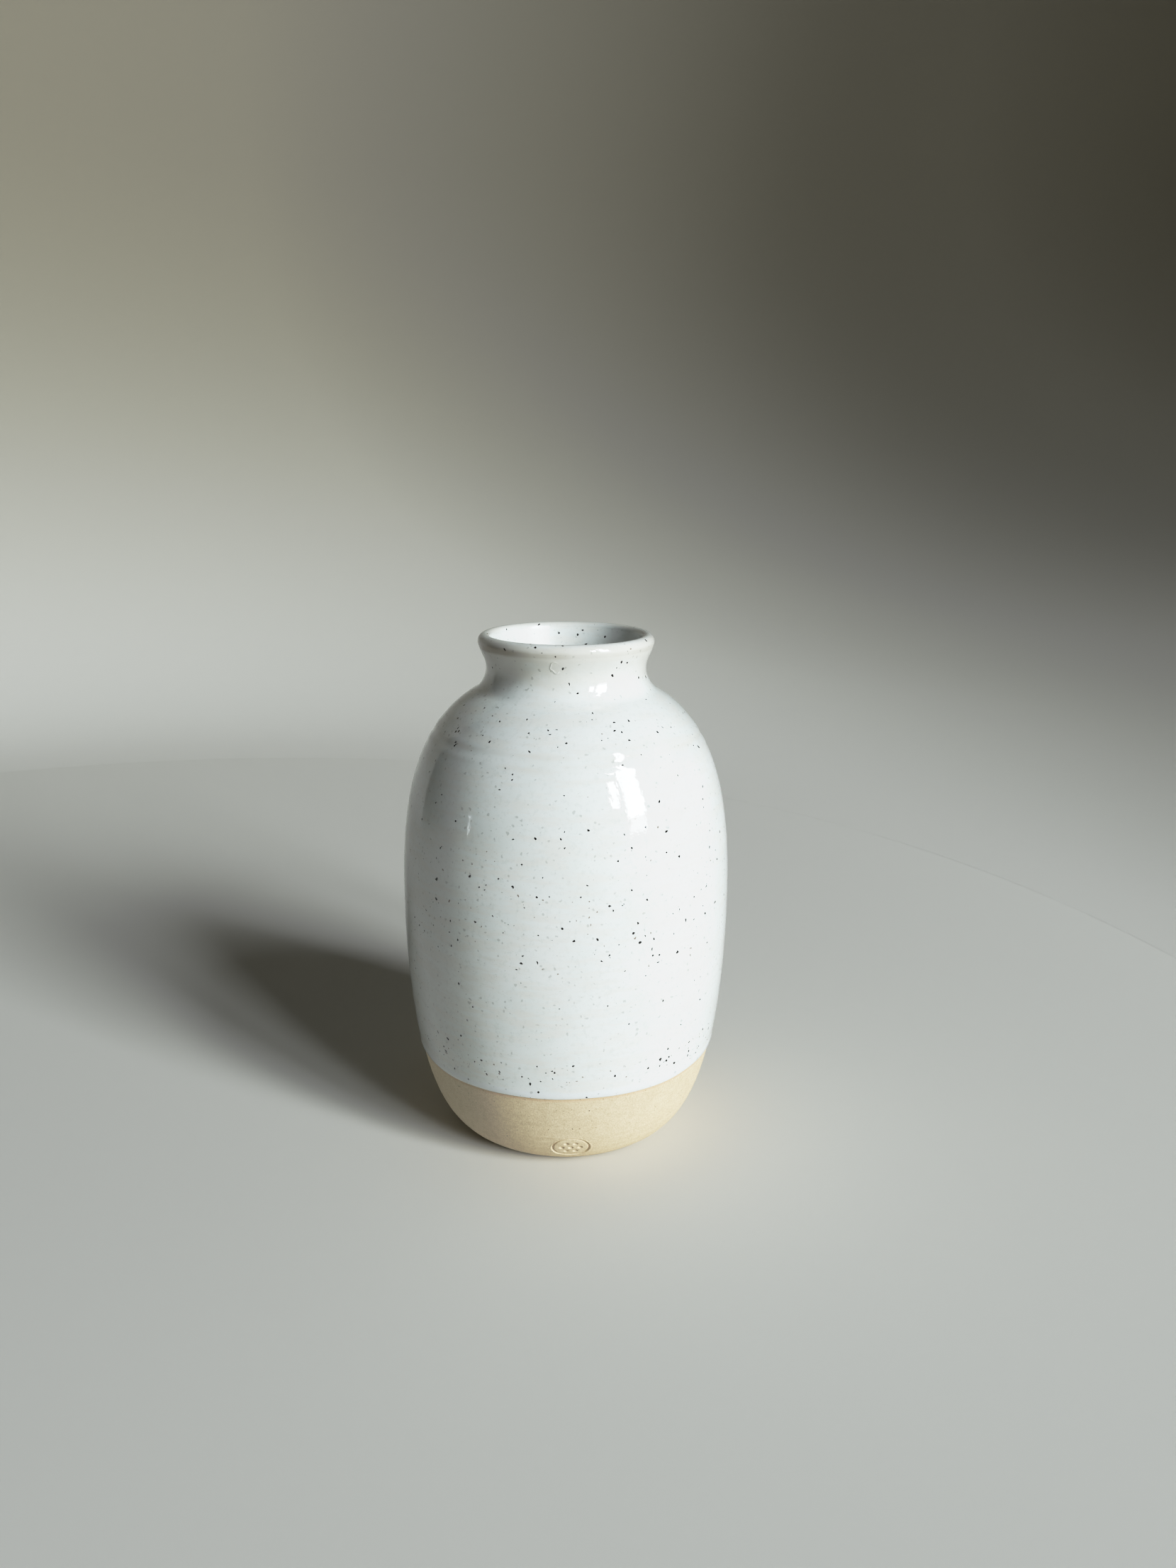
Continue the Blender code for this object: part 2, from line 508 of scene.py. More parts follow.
@dataclass(frozen=True)
class Specks:
    """One kind of iron speck: grains scattered through the glaze or the clay, cut open by its surface."""

    colour: str
    spacing: float
    smallest: float
    largest: float
    share: float
    strength: float
    softness: float

    def over(self, tree: Tree, colour: Socket, place: Socket, crowd: Socket | None) -> tuple[Socket, Socket]:
        """Lays these specks over a colour.

        Args:
            tree: The material's node tree.
            colour: The colour under the specks.
            place: Where the surface is, in millimetres.
            crowd: How crowded the specks are from place to place, or None where they are even.

        Returns:
            The colour with the specks on it, and how much of each spot is speck.
        """
        cells = tree.nodes.new("ShaderNodeTexVoronoi")
        cells.inputs["Scale"].default_value = 1 / self.spacing
        tree.links.new(place, cells.inputs["Vector"])
        draw = tree.nodes.new("ShaderNodeSeparateColor")
        tree.links.new(cells.outputs["Color"], draw.inputs["Color"])
        share: Any = self.share
        if crowd is not None:
            share = add(tree, MATH, {0: crowd, 1: self.share}, operation="MULTIPLY")
        chosen = add(tree, MATH, {0: draw.outputs["Red"], 1: share}, operation="LESS_THAN")
        radius = add(
            tree,
            RANGE,
            {"Value": draw.outputs["Green"], "To Min": self.smallest, "To Max": self.largest},
        )
        away = add(tree, MATH, {0: cells.outputs["Distance"], 1: self.spacing}, operation="MULTIPLY")
        inside = add(tree, MATH, {0: radius, 1: away}, operation="SUBTRACT")
        spot = add(
            tree,
            RANGE,
            {"Value": inside, "From Min": 0.0, "From Max": self.softness, "To Max": self.strength},
            interpolation_type="SMOOTHSTEP",
        )
        cover = add(tree, MATH, {0: spot, 1: chosen}, operation="MULTIPLY")
        speckled = add(
            tree,
            MIX,
            {0: cover, MIX_A: colour, MIX_B: linear(self.colour)},
            MIX_RESULT,
            data_type="RGBA",
        )
        return speckled, cover


class Tint(NamedTuple):
    """A colour that a pattern brings in, more and more between two of the pattern's values."""

    pattern: Socket
    start: float
    end: float
    most: float
    colour: str


def tinted(tree: Tree, colour: str, tints: list[Tint]) -> Socket:
    """Mixes tints into a colour, one after the other.

    Args:
        tree: The material's node tree.
        colour: The colour to start from, as sRGB hex.
        tints: The tints.

    Returns:
        The mixed colour.
    """
    mixed: Any = linear(colour)
    for tint in tints:
        share = add(
            tree,
            RANGE,
            {"Value": tint.pattern, "From Min": tint.start, "From Max": tint.end, "To Max": tint.most},
            interpolation_type="SMOOTHSTEP",
        )
        colours = {0: share, MIX_A: mixed, MIX_B: linear(tint.colour)}
        mixed = add(tree, MIX, colours, MIX_RESULT, data_type="RGBA")
    return mixed


def place_in_mm(tree: Tree) -> Socket:
    """The surface's place in the vase's own frame, in millimetres."""
    place = add(tree, "ShaderNodeTexCoord", {}, "Object")
    return add(tree, "ShaderNodeVectorMath", {0: place, 3: 1 / MM}, operation="SCALE")


def shaken(tree: Tree, place: Socket, grain: float, reach: float) -> Socket:
    """Shakes a place a little, so that what is drawn there has an uneven outline.

    Args:
        tree: The material's node tree.
        place: The place, in millimetres.
        grain: How coarse the unevenness is, in millimetres.
        reach: How far it goes, in millimetres.

    Returns:
        The shaken place.
    """
    noise = add(tree, NOISE, {"Vector": place, "Scale": 1 / grain, "Detail": 1.0}, "Color")
    centred = add(tree, "ShaderNodeVectorMath", {0: noise, 1: (0.5, 0.5, 0.5)}, operation="SUBTRACT")
    moved = add(tree, "ShaderNodeVectorMath", {0: centred, 3: 2 * reach}, operation="SCALE")
    return add(tree, "ShaderNodeVectorMath", {0: place, 1: moved}, operation="ADD")


@dataclass(frozen=True)
class WhiteStonewareGlaze:
    """A glossy white glaze that was opacified, dipped and fired over an iron-bearing clay.

    The eye sees a wet-looking, slightly wavy gloss over a milky white, cooler where the coat is thick
    and tan where it runs thin over a sharp edge, with iron from the clay bled through as dark specks.
    """

    name: str = "glossy_white_stoneware_glaze"
    white: str = "#e7eae6"
    cool_white: str = "#e1e7e3"
    warm_white: str = "#e4e4dd"
    grey_white: str = "#d3d7d1"
    blue_white: str = "#e5e9ea"
    ivory: str = "#dad7cd"
    tan: str = "#998b75"
    roughness: float = 0.025
    dull_roughness: float = 0.38
    ior: float = 1.52
    # The patterns' sizes in millimetres. The curds are nearer 0.5 mm and the last waves 0.2 mm in the
    # real glaze: both are too fine to show, so they are drawn coarser.
    clouds: float = 14.0
    bands: float = 3.0
    curds: float = 1.1
    speck_groups: float = 7.0
    waves: tuple[float, float, float] = (6.0, 1.5, 0.55)
    wave_height: float = 0.018
    bubble_place: tuple[float, float, float] = (-2.9, -19.2, 119.0)
    bubble_radius: float = 1.35
    bubble_rim: float = 0.4
    specks: tuple[Specks, ...] = (
        Specks("#86867c", spacing=1.4, smallest=0.16, largest=0.42, share=0.60, strength=0.36, softness=0.18),
        Specks("#6f5840", spacing=1.7, smallest=0.12, largest=0.28, share=0.18, strength=0.80, softness=0.10),
        Specks("#17110e", spacing=1.6, smallest=0.15, largest=0.36, share=0.26, strength=1.0, softness=0.05),
        Specks("#1c130d", spacing=2.6, smallest=0.30, largest=0.42, share=0.09, strength=1.0, softness=0.08),
    )

    def material(self) -> bpy.types.Material:
        """Builds the material, whose meshes carry three painted values: the glaze's thickness with painted
        shade mixed in, iron and dullness.

        Returns:
            The material.
        """
        made, tree, shader = new_material(self.name)
        place = place_in_mm(tree)
        # The glaze's thickness as the meshes paint it, with the painted shade on the lip's left and along the
        # rings included.
        thickness = add(tree, "ShaderNodeAttribute", {}, "Fac", attribute_name="glaze_thickness_and_painted_shade")
        iron = add(tree, "ShaderNodeAttribute", {}, "Fac", attribute_name="iron")
        colour = self.milky_white(tree, place, thickness)
        iron = self.gathered(tree, place, iron)
        uneven = shaken(tree, shaken(tree, place, grain=1.3, reach=0.55), grain=0.4, reach=0.16)
        buried, *bled_through = self.specks
        colour, _ = buried.over(tree, colour, uneven, None)
        for kind in bled_through:
            colour, cover = kind.over(tree, colour, uneven, iron)
        tree.links.new(colour, shader.inputs["Base Color"])
        shader.inputs["IOR"].default_value = self.ior
        dull = add(tree, "ShaderNodeAttribute", {}, "Fac", attribute_name="dullness")
        gloss = add(tree, RANGE, {"Value": dull, "To Min": self.roughness, "To Max": self.dull_roughness})
        rougher = add(tree, MATH, {0: cover, 1: 0.2, 2: gloss}, operation="MULTIPLY_ADD")
        tree.links.new(rougher, shader.inputs["Roughness"])
        tree.links.new(self.waviness(tree, place, cover), shader.inputs["Normal"])
        return made

    def gathered(self, tree: Tree, place: Socket, iron: Socket) -> Socket:
        """Gathers the iron into loose groups with clearer patches between them.

        Args:
            tree: The material's node tree.
            place: Where the surface is, in millimetres.
            iron: How much iron there is, before it is gathered.

        Returns:
            How crowded the specks are.
        """
        patches = add(tree, NOISE, {"Vector": place, "Scale": 1 / self.speck_groups, "Detail": 1.0})
        crowd = add(
            tree,
            RANGE,
            {"Value": patches, "From Min": 0.36, "From Max": 0.62, "To Min": 0.25, "To Max": 1.7},
        )
        return add(tree, MATH, {0: iron, 1: crowd}, operation="MULTIPLY")

    def milky_white(self, tree: Tree, place: Socket, thickness: Socket) -> Socket:
        """Colours the milky layer, without its specks.

        Args:
            tree: The material's node tree.
            place: Where the surface is, in millimetres.
            thickness: The coat's thickness there, as a share of its usual one, with painted shade taken off
                it on the lip's left and along the rings.

        Returns:
            The colour.
        """
        flat = add(tree, "ShaderNodeVectorMath", {0: place, 1: (0.3, 0.3, 1.6)}, operation="MULTIPLY")
        cloud = add(
            tree,
            NOISE,
            {"Vector": place, "Scale": 1 / self.clouds, "Detail": 3.0, "Roughness": 0.55},
        )
        band = add(tree, NOISE, {"Vector": flat, "Scale": 1 / self.bands, "Detail": 3.0, "Roughness": 0.6})
        curdle = add(
            tree,
            NOISE,
            {"Vector": place, "Scale": 1 / self.curds, "Detail": 3.0, "Roughness": 0.65},
        )
        uneven = add(
            tree,
            RANGE,
            {"Value": cloud, "From Min": 0.3, "From Max": 0.7, "To Min": -0.1, "To Max": 0.1},
        )
        thin = add(tree, MATH, {0: thickness, 1: uneven}, operation="ADD")
        tints = [
            Tint(cloud, 0.62, 0.36, 0.6, self.cool_white),
            Tint(band, 0.42, 0.66, 0.8, self.warm_white),
            Tint(curdle, 0.50, 0.28, 0.45, self.grey_white),
            Tint(thickness, 1.08, 1.3, 0.6, self.blue_white),
            # Ivory then tan where the coat runs thin, and where it carries painted shade on the lip's left
            # and along the rings.
            Tint(thin, 1.0, 0.72, 0.85, self.ivory),
            Tint(thin, 0.66, 0.20, 0.72, self.tan),
        ]
        return tinted(tree, self.white, tints)

    def waviness(self, tree: Tree, place: Socket, specks: Socket) -> Socket:
        """Gives the gloss its faint waves, which make a reflection's edge ragged, and its small faults.

        Args:
            tree: The material's node tree.
            place: Where the surface is, in millimetres.
            specks: How much of each spot is speck, because the glaze sinks a little round its iron.

        Returns:
            The surface's normal.
        """
        broad_size, fine_size, ragged_size = self.waves
        broad = add(tree, NOISE, {"Vector": place, "Scale": 1 / broad_size, "Detail": 1.0})
        fine = add(tree, NOISE, {"Vector": place, "Scale": 1 / fine_size, "Detail": 1.0, "Roughness": 0.35})
        ragged = add(tree, NOISE, {"Vector": place, "Scale": 1 / ragged_size, "Detail": 1.0})
        height = add(tree, MATH, {0: broad, 1: 2.0, 2: fine}, operation="MULTIPLY_ADD")
        height = add(tree, MATH, {0: ragged, 1: 0.45, 2: height}, operation="MULTIPLY_ADD")
        height = add(tree, MATH, {0: specks, 1: -0.8, 2: height}, operation="MULTIPLY_ADD")
        bubble = self.burst_bubble(tree, place)
        height = add(tree, MATH, {0: bubble, 1: 3.5, 2: height}, operation="MULTIPLY_ADD")
        return add(
            tree,
            "ShaderNodeBump",
            {"Height": height, "Distance": self.wave_height * MM, "Strength": 1.0},
        )

    def burst_bubble(self, tree: Tree, place: Socket) -> Socket:
        """Draws the crescent that a burst bubble left in the glaze on the front of the neck.

        Args:
            tree: The material's node tree.
            place: Where the surface is, in millimetres.

        Returns:
            The crescent's height, from 0 to 1.
        """
        place = shaken(tree, place, grain=1.2, reach=0.6)
        away = add(tree, "ShaderNodeVectorMath", {0: place, 1: self.bubble_place}, operation="SUBTRACT")
        radius = add(tree, "ShaderNodeVectorMath", {0: away}, "Value", operation="LENGTH")
        rim = add(tree, MATH, {0: radius, 1: self.bubble_radius}, operation="SUBTRACT")
        rim = add(tree, MATH, {0: rim}, operation="ABSOLUTE")
        rim = add(
            tree,
            RANGE,
            {"Value": rim, "From Min": self.bubble_rim, "From Max": 0.0},
            interpolation_type="SMOOTHSTEP",
        )
        towards_the_gap = {0: away, 1: (1.0, 0.0, 0.4)}
        side = add(tree, "ShaderNodeVectorMath", towards_the_gap, "Value", operation="DOT_PRODUCT")
        left = add(
            tree,
            RANGE,
            {"Value": side, "From Min": 0.8, "From Max": -0.2},
            interpolation_type="SMOOTHSTEP",
        )
        return add(tree, MATH, {0: rim, 1: left}, operation="MULTIPLY")


@dataclass(frozen=True)
class BareStoneware:
    """A buff stoneware clay, trimmed on the wheel, wiped and left unglazed.

    The eye sees a dry, fine-grained buff with sandy grain, small iron specks, light scratches that run
    round the foot where the trimming tool caught a grain, and a warm flash just below the glaze.
    """

    name: str = "bare_buff_stoneware"
    buff: str = "#ddccae"
    pale: str = "#ebdfc6"
    dark: str = "#c0ad8c"
    flash: str = "#cba684"
    roughness: float = 0.82
    ior: float = 1.45
    # The patterns' sizes in millimetres. The sand is nearer 0.15 mm and a scratch 0.1 mm wide: both are
    # too fine to show, so they are drawn coarser. A scratch is squeezed this much along x, y and z.
    sand: float = 0.38
    clouds: float = 9.0
    mottles: float = 1.9
    scratches: tuple[float, float, float] = (0.35, 0.35, 3.6)
    relief: float = 0.05
    specks: tuple[Specks, ...] = (
        Specks("#8c7a60", spacing=0.9, smallest=0.06, largest=0.20, share=0.40, strength=0.6, softness=0.08),
        Specks("#f0e8d4", spacing=1.1, smallest=0.06, largest=0.20, share=0.30, strength=0.6, softness=0.08),
        Specks("#4a3a2c", spacing=1.9, smallest=0.10, largest=0.26, share=0.16, strength=0.9, softness=0.06),
    )

    def material(self) -> bpy.types.Material:
        """Builds the material, whose mesh carries one painted value: below_glaze.

        Returns:
            The material.
        """
        made, tree, shader = new_material(self.name)
        place = place_in_mm(tree)
        below = add(tree, "ShaderNodeAttribute", {}, "Fac", attribute_name="below_glaze")
        grain = add(tree, NOISE, {"Vector": place, "Scale": 1 / self.sand, "Detail": 2.0, "Roughness": 0.6})
        cloud = add(tree, NOISE, {"Vector": place, "Scale": 1 / self.clouds, "Detail": 3.0})
        mottle = add(tree, NOISE, {"Vector": place, "Scale": 1 / self.mottles, "Detail": 2.0})
        squeezed = {0: place, 1: self.scratches}
        round_the_foot = add(tree, "ShaderNodeVectorMath", squeezed, operation="MULTIPLY")
        scratch = add(tree, NOISE, {"Vector": round_the_foot, "Scale": 1.0, "Detail": 2.0, "Roughness": 0.65})
        tints = [
            Tint(cloud, 0.45, 0.70, 0.12, self.dark),
            Tint(mottle, 0.42, 0.65, 0.18, self.dark),
            Tint(grain, 0.50, 0.70, 0.45, self.pale),
            Tint(grain, 0.50, 0.30, 0.45, self.dark),
            Tint(scratch, 0.70, 0.77, 0.5, self.pale),
            Tint(below, 0.45, 1.0, 0.45, self.flash),
        ]
        colour = tinted(tree, self.buff, tints)
        uneven = shaken(tree, place, grain=0.3, reach=0.08)
        for kind in self.specks:
            colour, _ = kind.over(tree, colour, uneven, None)
        tree.links.new(colour, shader.inputs["Base Color"])
        shader.inputs["Roughness"].default_value = self.roughness
        shader.inputs["IOR"].default_value = self.ior
        both = add(tree, MATH, {0: scratch, 1: 0.8, 2: grain}, operation="MULTIPLY_ADD")
        bump = add(tree, "ShaderNodeBump", {"Height": both, "Distance": self.relief * MM, "Strength": 1.0})
        tree.links.new(bump, shader.inputs["Normal"])
        return made


# ---------------------------------------------------------------- the vase's pieces


@dataclass
class Seal:
    """The potter's seal: an oval ring round seven dots, pressed into the soft clay of the foot."""

    height: float = 6.2
    radius: float = 4.4
    squat: float = 0.85
    line: float = 0.18
    depth: float = 0.46
    pushed: float = 0.06
    dot: float = 0.50
    dot_circle: float = 2.2
    dots: int = 6

    def sunk(self, form: Form, along: np.ndarray, angle: np.ndarray) -> np.ndarray:
        """How deep the seal's print is at each point.

        Args:
            form: The vase's form.
            along: The points' places along the skin.
            angle: Their angles round the axis, in degrees.

        Returns:
            The depth of the print, in millimetres, below 0 where clay was pushed up.
        """
        radius = np.interp(along, form.along, form.line[:, 0])
        across = np.radians(angle - FRONT) * radius
        up = (along - form.outside_at(self.height)) / self.squat
        away = np.hypot(across, up)
        print_depth = self.depth * hump(away, self.radius, self.line)
        print_depth -= self.pushed * hump(away, self.radius + 2.4 * self.line, 1.2 * self.line)
        print_depth += self.pushed * (1 - fade(away, self.radius - 0.3, self.radius))
        spots = [(0.0, 0.0)] + [tuple(self.dot_circle * way(360 * i / self.dots)) for i in range(self.dots)]
        for x, y in spots:
            near = np.hypot(across - x, up - y) / self.dot
            print_depth += self.depth * np.exp(-(near**4))
        return np.where(away < 2 * self.radius, print_depth, 0)


@dataclass
class ClayBody:
    """The thrown and trimmed clay: hollowed base, bare foot with its seal, and the wall under the glaze."""

    form: Form
    edge: GlazeEdge
    seal: Seal
    depth: float = 0.30
    tuck: float = 0.04
    hollow_radius: float = 18.0
    hollow_depth: float = 0.8
    around: int = 180
    seal_half_angle: float = 10.5
    seal_columns: int = 120
    seal_rows: float = 0.11
    foot_rows: float = 0.6
    hidden_rows: float = 3.0
    hollow_round: float = 0.3
    foot_round: float = 1.1
    turning_ring: float = 1.9
    turning_depth: float = 0.05
    # The trimming tool's facets: how far apart they are, how deep, and where they start.
    facets: tuple[tuple[float, float, float], ...] = ((2.3, 0.018, 0.0), (0.9, 0.008, 1.0))

    def build(self, finish: BareStoneware) -> bpy.types.Object:
        """Builds the clay and dresses it.

        Args:
            finish: The bare clay's finish.

        Returns:
            The piece.
        """
        angles = self.angles()
        rows = np.concatenate([self.underside(angles), self.wall(angles)])
        made = turned_mesh("clay_body", rows)
        made.data.materials.append(finish.material())
        places = np.array([tuple(vert.co) for vert in made.data.vertices]) / MM
        turn = np.degrees(np.arctan2(places[:, 1], places[:, 0]))
        gap = self.edge.height(turn) - places[:, 2]
        paint(made, "below_glaze", 1 - fade(gap, 0.0, 1.9))
        return made

    def angles(self) -> np.ndarray:
        """Picks the mesh's columns, close together across the seal.

        Returns:
            Their angles round the axis, in degrees.
        """
        half = self.seal_half_angle
        fine = np.linspace(FRONT - half, FRONT + half, self.seal_columns + 1)
        return np.r_[fine, np.linspace(FRONT + half, FRONT + 360 - half, self.around + 1)[1:-1]]

    def underside(self, angles: np.ndarray) -> np.ndarray:
        """Places the rows of the base, from the middle of the hollow out to the edge of the foot.

        Args:
            angles: The columns' angles.

        Returns:
            The rows' points, in millimetres.
        """
        edge, depth, bend = self.hollow_radius, self.hollow_depth, self.hollow_round
        outline = [Vector((radius, depth)) for radius in np.arange(0, edge - 1.2, 0.5)]
        outline += arc((edge - 0.9, depth - bend), bend, 90, 20, 5)
        outline += arc((edge + 0.25, bend), bend, 200, 270, 5)
        foot_edge = self.form.foot_radius - self.depth
        outline += [Vector((radius, 0)) for radius in np.arange(edge + 1, foot_edge - 1.0, 0.9)]
        outline += arc((foot_edge - 0.75, self.foot_round), self.foot_round, 270, 285, 4)
        radius, height = np.array([tuple(point) for point in outline]).T
        turn = np.radians(angles)
        in_the_hollow = fade(radius, 0.5, 2) * (1 - fade(radius, edge - 3, edge - 1.5))
        height = height + self.turning_depth * np.sin(2 * np.pi * radius / self.turning_ring) * in_the_hollow
        x, y = radius[:, None] * np.cos(turn), radius[:, None] * np.sin(turn)
        return np.stack([x, y, np.repeat(height[:, None], len(turn), 1)], -1)

    def wall(self, angles: np.ndarray) -> np.ndarray:
        """Places the rows from the foot up the outside, over the lip and down to the inner floor.

        Args:
            angles: The columns' angles.

        Returns:
            The rows' points, in millimetres.
        """
        form = self.form
        seal_top = form.outside_at(self.seal.height) + self.seal.radius + 0.8
        line = form.outside_at(form.glaze_line)
        places = np.concatenate(
            [
                np.arange(0.35, seal_top, self.seal_rows),
                form.rows(seal_top, line + 2, self.foot_rows, 8)[:-1],
                form.rows(line + 2, form.along[-1], self.hidden_rows, 14),
            ]
        )
        along, angle = np.meshgrid(places, angles, indexing="ij")
        covered = fade(along - self.edge.along(angle), 0.0, 0.6)
        depth = self.depth + self.tuck * covered
        depth = depth + self.seal.sunk(form, along, angle)
        depth = depth + self.trimming(along, angle) * (1 - covered)
        return form.place(along, angle, depth)

    def trimming(self, along: np.ndarray, angle: np.ndarray) -> np.ndarray:
        """The depth of the faint facets that the trimming tool left on the bare foot."""
        drift = along + 0.3 * np.sin(np.radians(angle) + 0.4)
        return sum(size * np.sin(2 * np.pi * drift / apart + start) for apart, size, start in self.facets)


class Coat(Enum):
    """The two coats of glaze, by the way each was put on."""

    DIPPED = "outside_glaze_coat"
    POURED = "liner_glaze_coat"


@dataclass
class GlazeCoat:
    """One coat of the glaze, dipped or poured, with what its mesh tells the material.

    The heights and widths of the painted-shade lines on the rings and of the iron-rich bands are in
    millimetres.
    The thinning and the painted shade are shares of the coat's usual thickness.
    """

    form: Form
    edge: GlazeEdge
    coat: Coat
    thickness: float = 0.30
    bead: float = 0.45
    roll: float = 0.35
    set_into_the_clay: float = 0.02
    around: int = 300
    lip_thinning: float = 0.50
    # Painted shade: the lip's tan is deepened towards its left (-x) side, which is turned away from the
    # light.
    lip_painted_shade_left: float = 0.22
    crest_thinning: float = 0.18
    below_lip_thinning: float = 0.12
    neck_thinning: float = 0.16
    # Painted shade along the rings: dark lines, each a height, a width and a share of thickness taken off,
    # that stand in for the rings' shading and reflection.
    ring_painted_shade: tuple[tuple[float, float, float], ...] = ((101.1, 0.7, 0.16), (98.4, 0.6, 0.09))
    iron: float = 0.38
    iron_at_the_lip: float = 0.9
    iron_bands: tuple[tuple[float, float, float], ...] = (
        (105, 3.2, 1.3),
        (84, 5, 0.2),
        (66, 11, 1.4),
        (28.3, 2.0, 7.5),
    )

    def build(self, material: bpy.types.Material) -> bpy.types.Object:
        """Builds the coat and dresses it.

        Args:
            material: The glaze.

        Returns:
            The piece.
        """
        angles = np.arange(self.around) * 360 / self.around
        front_along, angle = np.meshgrid(self.places(), angles, indexing="ij")
        if self.coat is Coat.DIPPED:
            rise = self.edge.along(angle) - self.form.outside_at(self.form.glaze_line)
            from_edge = front_along - front_along[0, 0]
            front_along = front_along + rise * (1 - fade(from_edge, 0, 14))
        thick = self.share(front_along, angle)
        front = self.form.place(front_along, angle, self.thickness * (1 - thick))
        back_along, back_angle = front_along[::-4], angle[::-4]
        back_depth = np.full_like(back_along, self.thickness + self.set_into_the_clay)
        back = self.form.place(back_along, back_angle, back_depth)
        rows = np.concatenate([front, back])
        made = turned_mesh(self.coat.value, rows)
        made.data.materials.append(material)
        self.paint_values(made, front_along, angle, thick, kept_points(rows))
        return made

    def places(self) -> np.ndarray:
        """Picks the places of the coat's rows, close together at its edges and over the rings.

        Returns:
            The places along the skin.
        """
        form = self.form
        if self.coat is Coat.DIPPED:
            start = form.outside_at(form.glaze_line)
            end = form.inside_at(form.lap_height)
            edge = start + graded(3.0, 0.02, 1.35, 0.5)
            lap = end - graded(1.2, 0.02, 1.5, 0.3)[::-1]
            rings = form.outside_at(95), form.outside_at(105)
            stretches = (edge[-1], rings[0], 0.8), (*rings, 0.3), (rings[1], lap[0], 0.8)
            rows = [form.rows(first, last, longest, 8)[:-1] for first, last, longest in stretches]
            return np.concatenate([edge[:-1], *rows, lap])
        start = form.inside_at(form.lap_height + 0.4)
        return form.rows(start, form.along[-1], 1.2, 10)

    def share(self, along: np.ndarray, angle: np.ndarray) -> np.ndarray:
        """The coat's thickness, as a share of its usual one.

        Args:
            along: The points' places along the skin.
            angle: Their angles round the axis, in degrees.

        Returns:
            The share at each point, 0 where the coat ends.
        """
        if self.coat is Coat.POURED:
            return np.full_like(along, 0.85)
        from_edge = np.maximum(along - self.edge.along(angle), 0)
        from_lap = np.maximum(self.form.inside_at(self.form.lap_height) - along, 0)
        near = np.minimum(from_edge, from_lap)
        rounded = np.sqrt(1 - (1 - np.clip(near / self.bead, 0, 1)) ** 2)
        rolled = self.roll * hump(from_edge, 1.3, 1.0)
        return rounded * (1 + rolled)

    def paint_values(
        self,
        made: bpy.types.Object,
        along: np.ndarray,
        angle: np.ndarray,
        thick: np.ndarray,
        kept: np.ndarray,
    ) -> None:
        """Paints the coat's thickness with painted shade mixed in, its iron and its dullness on the mesh, for
        the material.

        Args:
            made: The piece.
            along: The front's places along the skin.
            angle: Its angles round the axis.
            thick: The coat's thickness there, as a share of its usual one.
            kept: True for each point of the front and the back that the mesh keeps.
        """
        height = np.interp(along, self.form.along, self.form.line[:, 1])
        outside = along < self.form.crest
        seen = np.where(outside, thick, 1.0) - self.thinning_and_painted_shade(along, np.radians(angle), height, outside)
        iron = np.full_like(height, self.iron)
        for middle, width, strength in self.iron_bands:
            iron += strength * hump(height, middle, width)
        iron += self.iron_at_the_lip * fade(height, 114, 119)
        inside = fade(along, self.form.crest + 0.8, self.form.crest + 2.5)
        painted = {"glaze_thickness_and_painted_shade": (seen, 1.0), "iron": (iron, 0.0), "dullness": (inside, 0.0)}
        for name, (front, back) in painted.items():
            values = np.full(kept.shape, back)
            values[: len(front)] = front
            paint(made, name, values[kept])

    def thinning_and_painted_shade(
        self, along: np.ndarray, turn: np.ndarray, height: np.ndarray, outside: np.ndarray
    ) -> np.ndarray:
        """Works out where the melt ran thin, over the lip and down the neck, and adds painted shade: darker
        tan on the lip's left side and dark lines along the rings.

        Args:
            along: The points' places along the skin.
            turn: Their angles round the axis, in radians.
            height: Their heights.
            outside: True where the surface is the outer one.

        Returns:
            How much thinner the coat looks, painted shade included, as a share of its usual thickness.
        """
        below_the_lip = along - self.lip_edge() + 0.5
        # The cosine term is painted shade: darker tan on the lip's left side.
        strength = self.lip_thinning + 0.08 * np.sin(3 * turn + 3.5) - self.lip_painted_shade_left * np.cos(turn)
        rim = hump(below_the_lip, 0.0, 1.1) * strength
        rim += self.crest_thinning * hump(along, self.form.crest + 0.7, 0.8)
        rim += self.below_lip_thinning * hump(below_the_lip, 1.5, 0.8)
        neck = fade(height, 111.5, 115.5) * (1 - 0.7 * fade(height, 120.5, 122.0)) * outside
        spiral = self.form.spiral(height, turn)
        # Painted shade: dark lines along the rings.
        rings = sum(most * hump(spiral, middle, width) for middle, width, most in self.ring_painted_shade)
        rings = rings * (0.8 + 0.2 * np.sin(2 * turn + 1)) * outside
        return rim + self.neck_thinning * neck + rings

    def lip_edge(self) -> float:
        """The place on the skin where the lip is widest."""
        lip = np.where(self.form.line[:, 1] > 118, self.form.line[:, 0], 0)
        return float(self.form.along[np.argmax(lip)])


# ---------------------------------------------------------------- the studio


